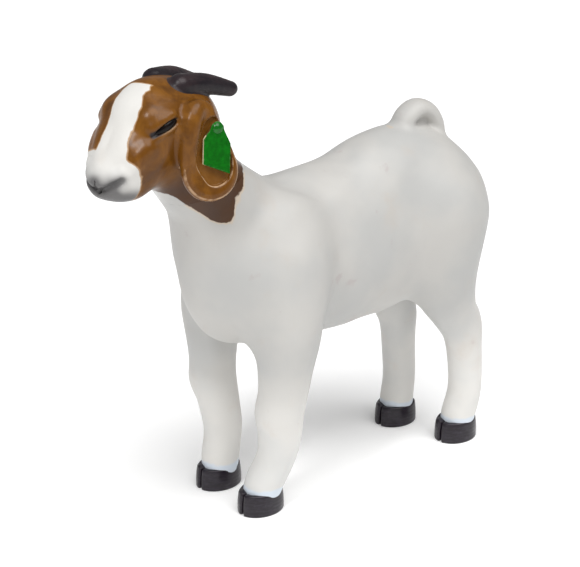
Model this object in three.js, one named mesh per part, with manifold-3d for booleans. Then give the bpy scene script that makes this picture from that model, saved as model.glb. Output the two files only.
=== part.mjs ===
// A moulded and hand-painted Boer goat figurine, standing, facing -Y with its left side at +X.
// Millimetres, +Z up, origin on the floor under the middle of the bounding box.
import * as THREE from "three";
import { mergeVertices } from "three/addons/utils/BufferGeometryUtils.js";
import Module from "manifold-3d";

// Overall sizes: the sculpture below is drawn at these sizes and stretches with them.
const OVERALL_WIDTH = 61;
const OVERALL_LENGTH = 152;
const OVERALL_HEIGHT = 150;

// Joints between the moulded pieces.
const GLUE_GAP = 0.35;
const PEG_CLEARANCE = 0.3;
const NECK_PEG_RADIUS = 5.5;
const NECK_PEG_LENGTH = 9;
const TAIL_PEG_RADIUS = 2.4;
const TAIL_PEG_LENGTH = 5;
const HORN_PEG_RADIUS = 1.6;
const HORN_PEG_LENGTH = 4;
const EAR_PEG_RADIUS = 1.8;
const EAR_PEG_LENGTH = 4;
const HOOF_PEG_RADIUS = 2.6;
const HOOF_PEG_LENGTH = 6;
const PEG_ROOT = 3;
const THIN_PEG_ROOT = 1.2;

// Hooves.
const HOOF_HEIGHT = 7.6;
const HOOF_WIDTH = 13;
const HOOF_LENGTH = 16.2;
const CLEFT_WIDTH = 0.9;
const CLEFT_DEPTH = 4.6;
const HOOF_STEEPNESS = 2.1;
const HOOF_BULGE = 2.5;
const HOOF_TOE = 0.5;

// Ear, ear tag and eye.
const EAR_THICKNESS = 4.4;
const EAR_HOLLOW_DEPTH = 1.6;
const TAG_THICKNESS = 1.3;
const TAG_WIDTH = 8.4;
const TAG_LENGTH = 15.5;
const TAG_NECK_RADIUS = 2.1;
const TAG_SHOULDER = 1.8;
const TAG_SLOPE = 2.8;
const TAG_SEAT = 1.9;
const TAG_REAR = 3.4;
const TAG_RISE = -0.5;
const TAG_TILT = 14;
const STUD_RADIUS = 1.7;
const STUD_HEIGHT = 0.9;
const STUD_PIN_RADIUS = 0.8;
const STUD_PIN_REACH = 0.6;
const EYE_LENGTH = 9.8;
const EYE_HEIGHT = 2.6;
const EYE_DEPTH = 5;
const EYE_STANDOFF = 0.25;

// Grid steps of the moulded surfaces.
const BODY_CELL = 4.3;
const HEAD_CELL = 3.1;
const SMALL_CELL = 2;

// The sizes at which the sculpture below is drawn.
const DRAWN_WIDTH = 61;
const DRAWN_LENGTH = 152;
const DRAWN_HEIGHT = 150;
const STRETCH = new THREE.Vector3(
  OVERALL_WIDTH / DRAWN_WIDTH,
  OVERALL_LENGTH / DRAWN_LENGTH,
  OVERALL_HEIGHT / DRAWN_HEIGHT,
);
const FACETS = 16;
const SNAP = 0.02;

const wasm = await Module();
wasm.setup();

// ---------- distance fields: negative inside, in millimetres ----------

function ellipsoid(centre, radii, turn = new THREE.Matrix4()) {
  const back = turn.clone().invert();
  const p = new THREE.Vector3();
  return (x, y, z) => {
    p.set(x - centre[0], y - centre[1], z - centre[2]).applyMatrix4(back);
    const near = Math.hypot(p.x / radii[0], p.y / radii[1], p.z / radii[2]);
    const slope = Math.hypot(p.x / radii[0] ** 2, p.y / radii[1] ** 2, p.z / radii[2] ** 2);
    return (near * (near - 1)) / Math.max(slope, 1e-9);
  };
}

// A cone with a ball at each end: joints are [x, y, z, radius].
function roundCone(from, to) {
  const axis = new THREE.Vector3(to[0] - from[0], to[1] - from[1], to[2] - from[2]);
  const squared = axis.lengthSq();
  const taper = from[3] - to[3];
  const side = squared - taper * taper;
  const p = new THREE.Vector3();
  const off = new THREE.Vector3();
  return (x, y, z) => {
    p.set(x - from[0], y - from[1], z - from[2]);
    const along = p.dot(axis);
    const past = along - squared;
    off.copy(p).multiplyScalar(squared).addScaledVector(axis, -along);
    const away = off.lengthSq();
    const startRing = along * along * squared;
    const endRing = past * past * squared;
    const lean = Math.sign(taper) * taper * taper * away;
    if (Math.sign(past) * side * endRing > lean) return Math.sqrt(away + endRing) / squared - to[3];
    if (Math.sign(along) * side * startRing < lean) return Math.sqrt(away + startRing) / squared - from[3];
    return (Math.sqrt((away * side) / squared) + along * taper) / squared - from[3];
  };
}

function softMin(a, b, reach) {
  const share = Math.min(Math.max(0.5 + (0.5 * (b - a)) / reach, 0), 1);
  return b + (a - b) * share - reach * share * (1 - share);
}

// Joins fields in turn, each with its own blending reach: blend(first, [reach, field], ...).
function blend(first, ...more) {
  return (x, y, z) => {
    let distance = first(x, y, z);
    for (const [reach, field] of more) distance = softMin(distance, field(x, y, z), reach);
    return distance;
  };
}

function cutAway(field, tool, reach) {
  return (x, y, z) => -softMin(-field(x, y, z), tool(x, y, z), reach);
}

function both(field) {
  return (x, y, z) => field(Math.abs(x), y, z);
}

function tilt(x, y, z) {
  const angles = [x, y, z].map(THREE.MathUtils.degToRad);
  return new THREE.Matrix4().makeRotationFromEuler(new THREE.Euler(...angles, "ZYX"));
}

// A smooth limb through its joints: each stretch is divided into short round cones on a spline.
function limb(joints) {
  const stations = [];
  const last = joints.length - 1;
  const steps = 4;
  for (let n = 0; n < last; n++) {
    const four = [n - 1, n, n + 1, n + 2].map((i) => joints[Math.min(Math.max(i, 0), last)]);
    for (let s = 0; s < steps; s++) stations.push(splinePoint(four, s / steps));
  }
  stations.push(joints[last]);
  const cones = stations.slice(1).map((station, i) => roundCone(stations[i], station));
  return (x, y, z) => {
    let distance = Infinity;
    for (const cone of cones) distance = Math.min(distance, cone(x, y, z));
    return distance;
  };
}

function splinePoint([before, from, to, after], t) {
  return from.map((value, i) => {
    const leave = (to[i] - before[i]) / 2;
    const arrive = (after[i] - value) / 2;
    const bend = 2 * value - 2 * to[i] + leave + arrive;
    const lift = -3 * value + 3 * to[i] - 2 * leave - arrive;
    return bend * t ** 3 + lift * t ** 2 + leave * t + value;
  });
}

// ---------- the sculpture ----------

const FRONT_LEG = [
  [16.4, -14.6, 84, 12.4],
  [20.0, -17.0, 64, 10.5],
  [19.6, -18.0, 48, 8.4],
  [18.3, -18.2, 36, 7.6],
  [15.0, -17.4, 20, 6.6],
  [12.1, -20.8, 9, 6.3],
  [11.8, -21.2, 4, 6.2],
];
const HIND_LEG = [
  [11.0, 55.0, 88, 17.0],
  [12.4, 56.0, 66, 12.4],
  [12.6, 63.8, 48, 7.6],
  [12.8, 67.8, 38, 6.5],
  [13.2, 69.4, 20, 5.9],
  [12.0, 67.6, 9, 6.1],
  [11.8, 67.4, 4, 6.0],
];
// The right hind foot stands a little further forward than the left one.
const RIGHT_HIND_STEP = -8;
const STEP_FROM_HEIGHT = 86;
const STEP_FULL_HEIGHT = 44;

function legJoints(joints, side, step) {
  return joints.map(([x, y, z, radius]) => {
    const share = (STEP_FROM_HEIGHT - z) / (STEP_FROM_HEIGHT - STEP_FULL_HEIGHT);
    return [side * x, y + step * Math.min(Math.max(share, 0), 1), z, radius];
  });
}

const LEGS = {
  front_left: legJoints(FRONT_LEG, 1, 0),
  front_right: legJoints(FRONT_LEG, -1, 0),
  hind_left: legJoints(HIND_LEG, 1, 0),
  hind_right: legJoints(HIND_LEG, -1, RIGHT_HIND_STEP),
};

const trunk = blend(
  ellipsoid([0, 4, 82], [20.5, 34, 27.2]),
  [8, ellipsoid([0, 30, 82.5], [21.5, 33, 29.2])],
  [10, ellipsoid([0, 46.5, 93], [18, 28, 24.3])],
  [8, both(ellipsoid([11, 56, 83.4], [11, 19.2, 25]))],
  [8, both(ellipsoid([14, -14, 83], [11.5, 16, 24], tilt(-10, 0, 0)))],
  [8, ellipsoid([0, -24, 84], [17, 17, 27])],
  [9, roundCone([0, -23, 94, 17], [0, -40, 120, 11.5])],
);

// The head looks a little to the goat's left: it is drawn straight ahead and turned about the neck.
const HEAD_YAW = 8.5;
const HEAD_PIVOT = [0, -38, 0];
const headTurn = tilt(0, 0, HEAD_YAW)
  .premultiply(new THREE.Matrix4().makeTranslation(...HEAD_PIVOT))
  .multiply(new THREE.Matrix4().makeTranslation(...HEAD_PIVOT).invert());
const headUnturn = headTurn.clone().invert();

function faced(field) {
  const p = new THREE.Vector3();
  return (x, y, z) => {
    p.set(x, y, z).applyMatrix4(headUnturn);
    return field(p.x, p.y, p.z);
  };
}

function onTurnedHead(point) {
  return new THREE.Vector3(...point).applyMatrix4(headTurn).toArray();
}

const skull = blend(
  ellipsoid([0, -55.5, 138], [11, 11.5, 10.5]),
  [6, ellipsoid([0, -47, 135], [13.5, 12.5, 12])],
  [5, both(ellipsoid([8.2, -56.5, 137.5], [5, 8, 7]))],
  [6, roundCone([0, -57, 133.5, 10], [0, -69.7, 123.2, 7])],
  [5, both(ellipsoid([5, -62, 128], [7, 9.5, 8]))],
  [4, both(ellipsoid([3.8, -67.9, 120.9], [4.6, 6.6, 5]))],
  [6, roundCone([0, -48, 126, 10], [0, -63, 119.6, 5.2])],
  [8, roundCone([0, -40, 118, 11.5], [0, -44, 130, 11.5])],
);

const goat = blend(
  trunk,
  [6, faced(skull)],
  [7, limb(LEGS.front_left)],
  [7, limb(LEGS.front_right)],
  [6, limb(LEGS.hind_left)],
  [6, limb(LEGS.hind_right)],
);

// The tail curls up and forward over a recessed web that fills its loop.
const TAIL = [
  [0, 61.2, 108, 3.6],
  [0, 62, 114.2, 3.4],
  [0, 59.2, 119.6, 3.2],
  [0, 54.2, 121.6, 3.2],
  [0, 49.4, 119.2, 3.2],
  [0, 47, 114.6, 3],
  [0, 47.4, 110, 2.6],
];
const TAIL_WIDENING = 1.45;
const TAIL_WEB = ellipsoid([0, 54.4, 113.4], [2.4, 6.2, 7]);
const tailRibbon = limb(TAIL);
const tailField = blend(
  (x, y, z) => tailRibbon(x / TAIL_WIDENING, y, z),
  [1, TAIL_WEB],
);
const HORN = [
  [5.6, -47.6, 146.2, 3.8],
  [7, -39.4, 145.4, 3.5],
  [8.6, -30.4, 142.6, 2.6],
];
const HORN_FLATNESS = 1.1;
const EYE_AT = [0, -60.2, 137];
const EYE_SLANT = 28;
const EYE_TURN = -15;
const EAR_CENTRE = [16, -48.2, 129.6];
const EAR_TURN = -24;
const EAR_LEAN = 8;
const EAR_FLARE = -10;
const EAR_ROOT = [0, 0.8, 8.6, 4.6];
const EAR_LOBE = [0, 0, -7.4, 8.6];

// The ear in its own frame: X is its thickness, Y its width, Z its length. Its rim is a full round.
const earLeaf = roundCone(EAR_ROOT, EAR_LOBE);
const EAR_HOLLOW_RADII = [3, 5.6, 9.4];
const EAR_HOLLOW_AT = [EAR_THICKNESS / 2 + EAR_HOLLOW_RADII[0] - EAR_HOLLOW_DEPTH, 1.2, -4];
const earHollow = ellipsoid(EAR_HOLLOW_AT, EAR_HOLLOW_RADII);
const earPlate = (x, y, z) => {
  const rim = EAR_THICKNESS / 2;
  return Math.hypot(Math.max(earLeaf(0, y, z) + rim, 0), x) - rim;
};
const ear = cutAway(earPlate, earHollow, 1);

// ---------- solids ----------

function solidOf(geometry) {
  const bare = geometry.clone();
  bare.deleteAttribute("normal");
  bare.deleteAttribute("uv");
  const merged = mergeVertices(bare, 1e-4);
  const made = new wasm.Manifold(
    new wasm.Mesh({
      numProp: 3,
      vertProperties: new Float32Array(merged.attributes.position.array),
      triVerts: new Uint32Array(merged.index.array),
    }),
  );
  return made;
}

// Vertices snap to a fine grid, so the slivers that a cut leaves close up and their faces go.
function geometryOf(solid) {
  const made = solid.getMesh();
  const geometry = new THREE.BufferGeometry();
  const snapped = made.vertProperties.map((value) => Math.round(value / SNAP) * SNAP);
  geometry.setAttribute("position", new THREE.BufferAttribute(snapped, 3));
  geometry.setIndex(new THREE.BufferAttribute(made.triVerts, 1));
  const merged = mergeVertices(geometry, SNAP / 4);
  const corners = merged.index.array;
  const kept = [];
  for (let i = 0; i < corners.length; i += 3) {
    const [a, b, c] = corners.slice(i, i + 3);
    if (a !== b && b !== c && c !== a) kept.push(a, b, c);
  }
  merged.setIndex(kept);
  return merged;
}

// Pulls a point onto the surface of a field.
function settle(field, point, reach) {
  const h = reach / 8;
  for (let turn = 0; turn < 3; turn++) {
    const [x, y, z] = point;
    const distance = field(x, y, z);
    const slope = [
      (field(x + h, y, z) - field(x - h, y, z)) / (2 * h),
      (field(x, y + h, z) - field(x, y - h, z)) / (2 * h),
      (field(x, y, z + h) - field(x, y, z - h)) / (2 * h),
    ];
    const steep = Math.max(slope[0] ** 2 + slope[1] ** 2 + slope[2] ** 2, 0.05);
    const move = Math.min(Math.max(distance / steep, -reach), reach);
    for (let axis = 0; axis < 3; axis++) point[axis] -= move * slope[axis];
  }
  return point;
}

// The closed skin of a field inside a box: one vertex for each grid cell that the surface crosses.
function skin(field, low, high, cell) {
  const count = low.map((value, axis) => Math.ceil((high[axis] - value) / cell) + 1);
  const stride = [count[1] * count[2], count[2], 1];
  const value = new Float64Array(count[0] * stride[0]);
  const cells = [];
  for (let i = 0; i < count[0]; i++) {
    for (let j = 0; j < count[1]; j++) {
      for (let k = 0; k < count[2]; k++) {
        cells.push([i, j, k]);
        value[i * stride[0] + j * stride[1] + k] = field(
          low[0] + i * cell,
          low[1] + j * cell,
          low[2] + k * cell,
        );
      }
    }
  }
  const positions = [];
  const vertexAt = new Int32Array(value.length).fill(-1);
  cells.forEach((corner, index) => {
    if (corner.some((step, axis) => step >= count[axis] - 1)) return;
    const sum = [0, 0, 0];
    let crossings = 0;
    for (let axis = 0; axis < 3; axis++) {
      const [u, v] = [(axis + 1) % 3, (axis + 2) % 3];
      for (const [du, dv] of [[0, 0], [1, 0], [0, 1], [1, 1]]) {
        const start = index + du * stride[u] + dv * stride[v];
        const a = value[start];
        const b = value[start + stride[axis]];
        if (a < 0 === b < 0) continue;
        sum[axis] += a / (a - b);
        sum[u] += du;
        sum[v] += dv;
        crossings++;
      }
    }
    if (!crossings) return;
    const point = corner.map((step, axis) => low[axis] + (step + sum[axis] / crossings) * cell);
    vertexAt[index] = positions.length / 3;
    positions.push(...settle(field, point, cell / 2));
  });
  const indices = [];
  cells.forEach((corner, index) => {
    for (let axis = 0; axis < 3; axis++) {
      if (corner[axis] >= count[axis] - 1) continue;
      const a = value[index] < 0;
      if (a === value[index + stride[axis]] < 0) continue;
      const [u, v] = [(axis + 1) % 3, (axis + 2) % 3];
      const ring = [
        vertexAt[index - stride[u] - stride[v]],
        vertexAt[index - stride[v]],
        vertexAt[index],
        vertexAt[index - stride[u]],
      ];
      if (!a) ring.reverse();
      indices.push(ring[0], ring[1], ring[2], ring[0], ring[2], ring[3]);
    }
  });
  const geometry = new THREE.BufferGeometry();
  geometry.setAttribute("position", new THREE.Float32BufferAttribute(positions, 3));
  geometry.setIndex(indices);
  return solidOf(geometry);
}

// The sculpture's fields are drawn at the nominal size and stretched to the overall sizes.
function stretched(field) {
  const least = Math.min(STRETCH.x, STRETCH.y, STRETCH.z);
  return (x, y, z) => field(x / STRETCH.x, y / STRETCH.y, z / STRETCH.z) * least;
}

function place([x, y, z]) {
  return new THREE.Vector3(x, y, z).multiply(STRETCH);
}

function carve(field, low, high, cell, grow = 0) {
  const whole = stretched(field);
  const grown = (x, y, z) => whole(x, y, z) - grow;
  return skin(grown, place(low).toArray(), place(high).toArray(), cell);
}

// A cylinder from one point along a direction.
function rod(from, direction, radius, length) {
  const geometry = new THREE.CylinderGeometry(radius, radius, length, FACETS);
  const along = direction.clone().normalize();
  geometry.applyQuaternion(new THREE.Quaternion().setFromUnitVectors(new THREE.Vector3(0, 1, 0), along));
  const middle = from.clone().addScaledVector(along, length / 2);
  geometry.translate(middle.x, middle.y, middle.z);
  return solidOf(geometry);
}

// A peg rooted in the piece behind "from" and the wider socket that takes it.
function peg(from, direction, radius, length, rooted = PEG_ROOT) {
  const along = direction.clone().normalize();
  const root = from.clone().addScaledVector(along, -rooted);
  return {
    pin: rod(root, along, radius, rooted + length),
    socket: rod(root, along, radius + PEG_CLEARANCE, rooted + length + PEG_CLEARANCE),
  };
}

const FAR = 400;

// A large block whose top face is the plane through "point" with the normal "up".
function halfSpace(point, up) {
  const geometry = new THREE.BoxGeometry(FAR, FAR, FAR);
  geometry.translate(0, 0, -FAR / 2);
  const normal = up.clone().normalize();
  geometry.applyQuaternion(new THREE.Quaternion().setFromUnitVectors(new THREE.Vector3(0, 0, 1), normal));
  geometry.translate(point.x, point.y, point.z);
  return solidOf(geometry);
}

const UP = new THREE.Vector3(0, 0, 1);
const DOWN = new THREE.Vector3(0, 0, -1);
const INWARD = { left: new THREE.Vector3(-1, 0, 0), right: new THREE.Vector3(1, 0, 0) };
const SIDES = { left: 1, right: -1 };

// The point where a straight line from inside the sculpture comes out through its skin.
function skinPoint(inside, direction) {
  const field = stretched(goat);
  const point = place(inside);
  const step = 0.05;
  while (field(point.x, point.y, point.z) < 0) point.addScaledVector(direction, step);
  return point;
}

// The neck joint rises towards the withers.
const NECK_POINT = [0, -38, 112.2];
const NECK_RISE = 0.3;
const neckNormal = new THREE.Vector3(0, -NECK_RISE, 1).normalize();
const neckPoint = place(NECK_POINT);
const aboveNeck = (x, y, z) => {
  const rise = z - NECK_POINT[2] - NECK_RISE * (y - NECK_POINT[1]);
  return rise / Math.hypot(1, NECK_RISE);
};
const OVERCUT = 4;

const bodyField = (x, y, z) => Math.max(goat(x, y, z), aboveNeck(x, y, z) - OVERCUT);
const BODY_LOW = [-36, -64, -6];
const BODY_HIGH = [36, 90, 134];

function makeBody(sockets) {
  const bulk = carve(bodyField, BODY_LOW, BODY_HIGH, BODY_CELL);
  const ankle = new THREE.Vector3(0, 0, HOOF_HEIGHT + GLUE_GAP);
  let body = bulk.intersect(halfSpace(neckPoint, neckNormal)).intersect(halfSpace(ankle, DOWN));
  for (const socket of sockets) body = body.subtract(socket);
  return body;
}

const headField = (x, y, z) => Math.max(goat(x, y, z), -OVERCUT - aboveNeck(x, y, z));
const HEAD_LOW = [-22, -88, 96];
const HEAD_HIGH = [22, -8, 158];

function makeHead(pegs, sockets) {
  const seat = neckPoint.clone().addScaledVector(neckNormal, GLUE_GAP);
  let head = carve(headField, HEAD_LOW, HEAD_HIGH, HEAD_CELL);
  head = head.intersect(halfSpace(seat, neckNormal.clone().negate()));
  for (const pin of pegs) head = head.add(pin);
  for (const socket of sockets) head = head.subtract(socket);
  return head;
}

const neckPeg = peg(
  neckPoint.clone().addScaledVector(neckNormal, GLUE_GAP),
  neckNormal.clone().negate(),
  NECK_PEG_RADIUS,
  NECK_PEG_LENGTH,
);

const bodySkin = carve(bodyField, BODY_LOW, BODY_HIGH, BODY_CELL, GLUE_GAP);
const headSkin = carve(headField, HEAD_LOW, HEAD_HIGH, HEAD_CELL, GLUE_GAP);

// ---------- horns ----------

const hornField = (() => {
  const round = limb(HORN.map(([x, y, z, radius]) => [x, y, z * HORN_FLATNESS, radius]));
  return (x, y, z) => round(x, y, z * HORN_FLATNESS) / HORN_FLATNESS;
})();

const HORN_ROOT = [6.2, -45.2, 138];

// The part of a piece that lies outside the sculpture, without the crumbs that a cut leaves inside.
function outsideOf(bulk, sculpture) {
  const pieces = bulk.subtract(sculpture).decompose();
  return pieces.sort((a, b) => b.volume() - a.volume())[0];
}

// Half width, half depth, bottom and top of the box that holds each small moulded piece.
const HORN_BOX = [10, 21, 132, 156];
const EAR_BOX = [14, 19, 106, 152];
const TAIL_BOX = [10, 18, 98, 132];
const TAIL_ROOT_INSIDE = 100;

function carveAround(field, [x, y], [halfWidth, halfDepth, bottom, top], cell) {
  const low = [x - halfWidth, y - halfDepth, bottom];
  const high = [x + halfWidth, y + halfDepth, top];
  return carve(field, low, high, cell);
}

function makeHorn(side) {
  const field = faced((x, y, z) => hornField(side * x, y, z));
  const [x, y] = onTurnedHead([side * HORN[1][0], HORN[1][1], 0]);
  const bulk = carveAround(field, [x, y], HORN_BOX, SMALL_CELL);
  const root = skinPoint(onTurnedHead([side * HORN_ROOT[0], HORN_ROOT[1], HORN_ROOT[2]]), UP);
  const joint = peg(root, DOWN, HORN_PEG_RADIUS, HORN_PEG_LENGTH, THIN_PEG_ROOT);
  return { solid: outsideOf(bulk, headSkin).add(joint.pin), socket: joint.socket };
}

// ---------- ears and the tag ----------

const EAR_PEG_AT = [0, -47.4, 136.6];

function earFrame(side) {
  const turn = tilt(0, 0, side * EAR_TURN);
  turn.multiply(tilt(0, side * EAR_FLARE, 0));
  turn.multiply(tilt(EAR_LEAN, 0, 0));
  if (side < 0) turn.multiply(new THREE.Matrix4().makeScale(-1, 1, 1));
  turn.setPosition(side * EAR_CENTRE[0], EAR_CENTRE[1], EAR_CENTRE[2]);
  return turn.premultiply(headTurn);
}

function makeEar(side, inward) {
  const back = earFrame(side).invert();
  const p = new THREE.Vector3();
  const field = (x, y, z) => {
    p.set(x, y, z).applyMatrix4(back);
    return ear(p.x, p.y, p.z);
  };
  const [x, y] = onTurnedHead([side * EAR_CENTRE[0], EAR_CENTRE[1], 0]);
  const bulk = carveAround(field, [x, y], EAR_BOX, SMALL_CELL);
  const towards = inward.clone().transformDirection(headTurn);
  const root = skinPoint(onTurnedHead(EAR_PEG_AT), towards.clone().negate());
  const joint = peg(root, towards, EAR_PEG_RADIUS, EAR_PEG_LENGTH, THIN_PEG_ROOT);
  return { solid: outsideOf(bulk, headSkin).add(joint.pin), socket: joint.socket };
}

// The tag's outline: a rounded neck, sloping shoulders and a lower edge that drops to the rear.
function tagShape(grow) {
  const half = TAG_WIDTH / 2 + grow;
  const neck = TAG_NECK_RADIUS + grow;
  const centre = TAG_LENGTH / 2 - TAG_NECK_RADIUS;
  const shape = new THREE.Shape();
  shape.moveTo(-half, -TAG_LENGTH / 2 + TAG_SLOPE - grow);
  shape.lineTo(half, -TAG_LENGTH / 2 - grow);
  shape.lineTo(half, TAG_SHOULDER);
  shape.lineTo(neck, centre);
  shape.absarc(0, centre, neck, 0, Math.PI, false);
  shape.lineTo(-half, TAG_SHOULDER);
  shape.closePath();
  return shape;
}

// Extrudes along the ear's X, with the outline's X along the ear's Y and its Y along the ear's Z.
function onEar(shape, start, depth) {
  const geometry = new THREE.ExtrudeGeometry(shape, { depth, bevelEnabled: false, curveSegments: 8 });
  const turn = new THREE.Matrix4().set(0, 0, 1, start, 1, 0, 0, TAG_REAR, 0, 1, 0, TAG_RISE, 0, 0, 0, 1);
  geometry.rotateZ(-THREE.MathUtils.degToRad(TAG_TILT));
  geometry.applyMatrix4(turn);
  geometry.applyMatrix4(earFrame(SIDES.left));
  const centre = onTurnedHead(EAR_CENTRE);
  const settled = place(centre).sub(new THREE.Vector3(...centre));
  geometry.translate(settled.x, settled.y, settled.z);
  return solidOf(geometry);
}

function disc(radius) {
  const shape = new THREE.Shape();
  shape.absarc(0, TAG_LENGTH / 2 - TAG_NECK_RADIUS, radius, 0, 2 * Math.PI, false);
  return shape;
}

const HOLE_OVERSHOOT = 1;
const TAG_ROOM_DEPTH = 12;

function makeTag() {
  const outer = TAG_SEAT + TAG_THICKNESS;
  const pinTop = outer + GLUE_GAP + STUD_HEIGHT / 2;
  const plate = onEar(tagShape(0), TAG_SEAT, TAG_THICKNESS);
  const hole = onEar(
    disc(STUD_PIN_RADIUS + PEG_CLEARANCE),
    TAG_SEAT - HOLE_OVERSHOOT,
    TAG_THICKNESS + 2 * HOLE_OVERSHOOT,
  );
  const cap = onEar(disc(STUD_RADIUS), outer + GLUE_GAP, STUD_HEIGHT);
  const pin = onEar(disc(STUD_PIN_RADIUS), -STUD_PIN_REACH, STUD_PIN_REACH + pinTop);
  const pinHole = onEar(disc(STUD_PIN_RADIUS + PEG_CLEARANCE), -STUD_PIN_REACH - GLUE_GAP, TAG_ROOM_DEPTH);
  const room = onEar(tagShape(GLUE_GAP), TAG_SEAT - GLUE_GAP, TAG_ROOM_DEPTH);
  return { plate: plate.subtract(hole), stud: cap.add(pin), room: room.add(pinHole) };
}

// ---------- eyes, tail and hooves ----------

function eyeball(side, grow) {
  const geometry = new THREE.SphereGeometry(1, 16, 10);
  geometry.scale(EYE_DEPTH / 2 + grow, EYE_LENGTH / 2 + grow, EYE_HEIGHT / 2 + grow);
  geometry.applyMatrix4(tilt(0, 0, HEAD_YAW + side * EYE_TURN).multiply(tilt(EYE_SLANT, 0, 0)));
  const outward = new THREE.Vector3(side, 0, 0).transformDirection(headTurn);
  const surface = skinPoint(onTurnedHead(EYE_AT), outward);
  const middle = surface.addScaledVector(outward, EYE_STANDOFF - EYE_DEPTH / 2);
  geometry.translate(middle.x, middle.y, middle.z);
  return solidOf(geometry);
}

function makeTail() {
  const bulk = carveAround(tailField, [0, TAIL[3][1]], TAIL_BOX, SMALL_CELL);
  const root = skinPoint([0, TAIL[1][1], TAIL_ROOT_INSIDE], UP);
  const joint = peg(root, DOWN, TAIL_PEG_RADIUS, TAIL_PEG_LENGTH);
  return { solid: outsideOf(bulk, bodySkin).add(joint.pin), socket: joint.socket };
}

function makeHoof(joints) {
  const [x, y] = joints[joints.length - 1];
  const centre = place([x, y, 0]);
  const geometry = new THREE.SphereGeometry(1, 24, 16);
  geometry.rotateX(Math.PI / 2);
  geometry.scale(HOOF_WIDTH / 2, HOOF_LENGTH / 2, HOOF_HEIGHT * HOOF_STEEPNESS);
  geometry.translate(centre.x, centre.y - HOOF_TOE, HOOF_BULGE);
  const top = new THREE.Vector3(centre.x, centre.y, HOOF_HEIGHT);
  const cleft = new THREE.BoxGeometry(CLEFT_WIDTH, CLEFT_DEPTH * 2, HOOF_HEIGHT * 3);
  cleft.translate(centre.x, centre.y - HOOF_TOE - HOOF_LENGTH / 2, 0);
  const joint = peg(top, UP, HOOF_PEG_RADIUS, HOOF_PEG_LENGTH);
  const block = solidOf(geometry).intersect(halfSpace(top, UP));
  const footed = block.intersect(halfSpace(new THREE.Vector3(), DOWN));
  return { solid: footed.subtract(solidOf(cleft)).add(joint.pin), socket: joint.socket };
}

// ---------- the figurine ----------

const PAINT = {
  white: { color: "#e4e0da", roughness: 0.45, metalness: 0 },
  brown: { color: "#8f5a22", roughness: 0.35, metalness: 0 },
  horn: { color: "#2c2528", roughness: 0.45, metalness: 0 },
  black: { color: "#1d1c22", roughness: 0.4, metalness: 0 },
  gloss: { color: "#0b0909", roughness: 0.12, metalness: 0 },
  green: { color: "#147f27", roughness: 0.4, metalness: 0 },
};

const figurine = new THREE.Group();

function addPiece(name, solid, paint) {
  const mesh = new THREE.Mesh(geometryOf(solid), new THREE.MeshStandardMaterial(PAINT[paint]));
  mesh.name = name;
  figurine.add(mesh);
}

const tag = makeTag();
const headSockets = [];
for (const [name, side] of Object.entries(SIDES)) {
  const horn = makeHorn(side);
  const earPiece = makeEar(side, INWARD[name]);
  headSockets.push(horn.socket, earPiece.socket, eyeball(side, GLUE_GAP));
  addPiece(`horn_${name}`, horn.solid, "horn");
  addPiece(`ear_${name}`, name === "left" ? earPiece.solid.subtract(tag.room) : earPiece.solid, "brown");
  addPiece(`eye_${name}`, eyeball(side, 0), "gloss");
}
addPiece("ear_tag", tag.plate, "green");
addPiece("ear_tag_stud", tag.stud, "green");

const tail = makeTail();
const bodySockets = [neckPeg.socket, tail.socket];
for (const [name, joints] of Object.entries(LEGS)) {
  const hoof = makeHoof(joints);
  bodySockets.push(hoof.socket);
  addPiece(`hoof_${name}`, hoof.solid, "black");
}
addPiece("tail", tail.solid, "white");
addPiece("head", makeHead([neckPeg.pin], headSockets), "brown");
addPiece("body", makeBody(bodySockets), "white");

// The origin lies on the floor under the middle of the figurine.
const bounds = new THREE.Box3().setFromObject(figurine);
const middle = (bounds.min.y + bounds.max.y) / 2;
figurine.position.set(0, -Math.round(middle / SNAP) * SNAP, 0);

const boerGoat = new THREE.Group();
boerGoat.add(figurine);

export default boerGoat;
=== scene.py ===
"""A moulded, hand-painted Boer goat figurine: body, head, horns, ears, tag, eyes, tail and hooves.

The shapes are distance fields in millimetres, drawn with the goat facing -Y and its left side on +X.
Each piece is skinned into a closed mesh, painted by distances kept on its points, and put in the frame.
"""

import math

import bmesh
import bpy
import numpy as np
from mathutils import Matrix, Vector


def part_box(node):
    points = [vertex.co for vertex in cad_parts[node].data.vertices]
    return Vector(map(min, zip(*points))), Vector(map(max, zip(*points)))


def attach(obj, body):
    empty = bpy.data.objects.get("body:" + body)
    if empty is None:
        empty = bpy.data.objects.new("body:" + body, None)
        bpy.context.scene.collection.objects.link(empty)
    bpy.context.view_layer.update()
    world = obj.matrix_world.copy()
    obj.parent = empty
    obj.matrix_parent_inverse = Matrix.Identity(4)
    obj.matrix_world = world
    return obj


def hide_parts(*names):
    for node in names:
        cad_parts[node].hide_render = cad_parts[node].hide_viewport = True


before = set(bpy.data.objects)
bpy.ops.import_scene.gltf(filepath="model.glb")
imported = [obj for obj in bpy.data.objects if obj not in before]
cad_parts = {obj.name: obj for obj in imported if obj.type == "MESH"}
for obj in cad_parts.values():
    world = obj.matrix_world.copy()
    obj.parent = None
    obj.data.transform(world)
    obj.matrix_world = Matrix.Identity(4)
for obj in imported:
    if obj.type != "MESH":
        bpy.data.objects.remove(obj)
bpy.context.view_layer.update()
MM = 0.001

# ---------- distance fields: negative inside, in millimetres; p is an array of points ----------


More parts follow.
